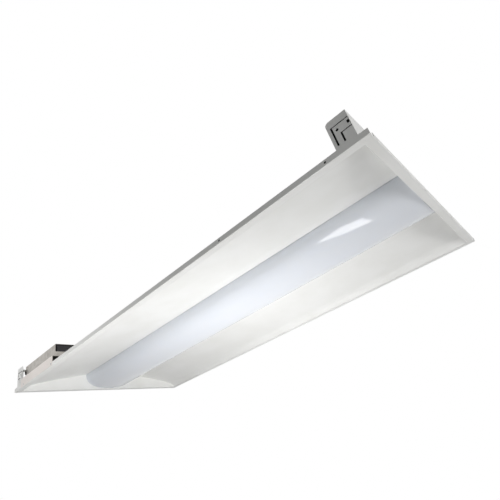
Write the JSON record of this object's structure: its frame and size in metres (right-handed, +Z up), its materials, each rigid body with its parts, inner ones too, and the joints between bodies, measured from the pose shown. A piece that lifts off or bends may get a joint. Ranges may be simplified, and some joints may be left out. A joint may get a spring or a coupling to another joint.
{
  "type": "recessed troffer light",
  "caption": "Lay-in recessed troffer light with a white steel frame, curved side reflectors, a hinged opal centre lens, bend-out grid clips and a driver box at one end.",
  "frame": {"origin": "centre of the frame's underside, the face that lies on the ceiling grid", "axes": "+Z up into the ceiling, +Y along the long side towards the driver box's end, +X across; the driver box is on the -X side"},
  "size_m": [0.603, 1.213, 0.0656],
  "materials": {
    "white_steel": "white powder coat over steel sheet, satin",
    "cream_steel": "off-white powder coat over steel sheet, satin",
    "galvanised_steel": "bare galvanised sheet, dull",
    "lens_acrylic": "opal acrylic, polished outside",
    "board_laminate": "white solder mask on laminate",
    "led_package": "yellow phosphor under clear resin",
    "connector_nylon": "natural nylon, moulded",
    "wire_red": "extruded vinyl insulation",
    "wire_black": "extruded vinyl insulation",
    "driver_black": "black enamel, semi-matt",
    "zinc_steel": "bright zinc plate",
    "spring_steel": "rolled spring strip",
    "rivet_aluminium": "drawn aluminium, plain",
    "green_steel": "green dyed zinc plate",
    "splice_amber": "clear amber moulding",
    "cast_zinc": "die-cast zinc, dull"
  },
  "bodies": {
    "frame": {"board_connectors": "connector_nylon", "board_jumpers": "wire_red", "board_screws": "zinc_steel", "conduit_connector": "cast_zinc", "cover_screws": "zinc_steel", "driver_cover": "galvanised_steel", "driver_input_leads": "wire_black", "driver_screws": "zinc_steel", "driver_side_plate": "cream_steel", "driver_tray": "galvanised_steel", "end_plate_far": "white_steel", "end_plate_near": "white_steel", "gear_tray": "white_steel", "ground_screw": "green_steel", "knockout_disc": "white_steel", "led_board_far_left": "board_laminate", "led_board_far_right": "board_laminate", "led_board_near_left": "board_laminate", "led_board_near_right": "board_laminate", "led_driver": "driver_black", "led_leads": "wire_red", "leds_far_left": "led_package", "leds_far_right": "led_package", "leds_near_left": "led_package", "leds_near_right": "led_package", "lens_catch_springs": "spring_steel", "push_in_splices": "splice_amber", "reflector_rivets": "rivet_aluminium", "side_plate_screws": "zinc_steel", "side_rail_left": "white_steel", "side_rail_right": "white_steel", "side_reflector_left": "white_steel", "side_reflector_right": "white_steel", "tray_screws": "zinc_steel"},
    "lens": {"lens": "lens_acrylic", "lens_end_cap_near": "lens_acrylic", "lens_end_cap_far": "lens_acrylic", "lens_hinge_pin_near": "zinc_steel", "lens_hinge_pin_far": "zinc_steel"},
    "grid_clip_far_left": {"grid_clip_far_left": "white_steel"},
    "grid_clip_far_right": {"grid_clip_far_right": "white_steel"},
    "grid_clip_near_left": {"grid_clip_near_left": "white_steel"},
    "grid_clip_near_right": {"grid_clip_near_right": "white_steel"}
  },
  "joints": [
    {"name": "lens_swing", "type": "hinge", "parent": "frame", "child": "lens", "pos_m": [0.0779, 0, 0.042], "axis": [0, -1, 0], "range_deg": [0, 85]},
    {"name": "clip_bend_far_left", "type": "hinge", "parent": "frame", "child": "grid_clip_far_left", "pos_m": [-0.3003, 0.56675, 0.0161], "axis": [0, -1, 0], "range_deg": [0, 90]},
    {"name": "clip_bend_far_right", "type": "hinge", "parent": "frame", "child": "grid_clip_far_right", "pos_m": [0.3003, 0.56675, 0.0161], "axis": [0, 1, 0], "range_deg": [0, 90]},
    {"name": "clip_bend_near_left", "type": "hinge", "parent": "frame", "child": "grid_clip_near_left", "pos_m": [-0.3003, -0.56675, 0.0161], "axis": [0, -1, 0], "range_deg": [0, 90]},
    {"name": "clip_bend_near_right", "type": "hinge", "parent": "frame", "child": "grid_clip_near_right", "pos_m": [0.3003, -0.56675, 0.0161], "axis": [0, 1, 0], "range_deg": [0, 90]}
  ]
}
